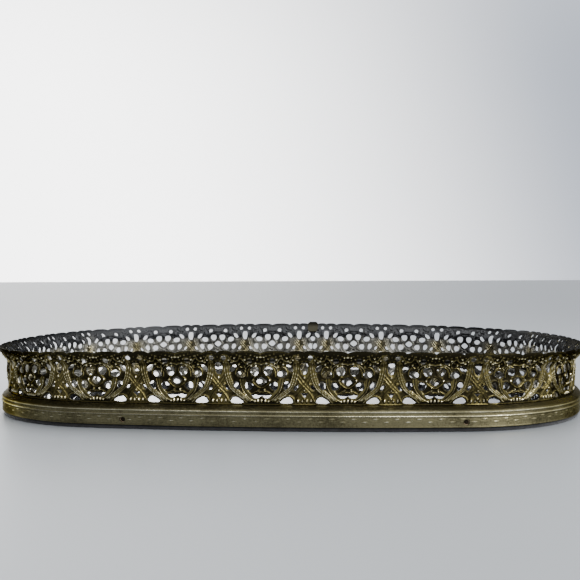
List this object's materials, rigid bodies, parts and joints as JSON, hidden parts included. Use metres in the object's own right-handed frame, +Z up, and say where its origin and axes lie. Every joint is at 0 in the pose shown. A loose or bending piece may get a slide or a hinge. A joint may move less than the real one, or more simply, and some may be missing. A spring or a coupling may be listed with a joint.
{
  "type": "mirrored dresser tray",
  "caption": "Bow-sided tray with a pierced, flared brass gallery round a mirror floor, held by a brass band on a felt-backed board.",
  "frame": {"origin": "on the table under the middle of the tray, at the underside of the felt", "axes": "+Z up; +X along the long side; -Y towards the front; the gallery's joint is at the middle of the +Y side"},
  "size_m": [0.3782, 0.2822, 0.0447],
  "materials": {
    "gallery_brass": "pierced and pressed brass, dark antique patina, worn bright on the raised lines",
    "plate_brass": "plain brass sheet, dull olive patina",
    "soft_solder": "dull grey soft solder",
    "band_brass": "rolled brass band, brushed antique patina with worn ridges",
    "brad_brass": "tarnished brass brads set below the face",
    "clear_glass": "polished float glass",
    "mirror_silver": "silvered back of the mirror",
    "grey_card": "grey board, matt",
    "base_wood": "pressed wood fibre board, raw",
    "black_felt": "black wool felt"
  },
  "bodies": {
    "root": {"gallery_strip": "gallery_brass", "rim_joint_plate": "plate_brass", "joint_solder": "soft_solder", "base_band": "band_brass", "band_brads": "brad_brass", "mirror_glass": "clear_glass", "mirror_silvering": "mirror_silver", "card_liner": "grey_card", "base_board": "base_wood", "felt_pad": "black_felt"}
  },
  "joints": []
}
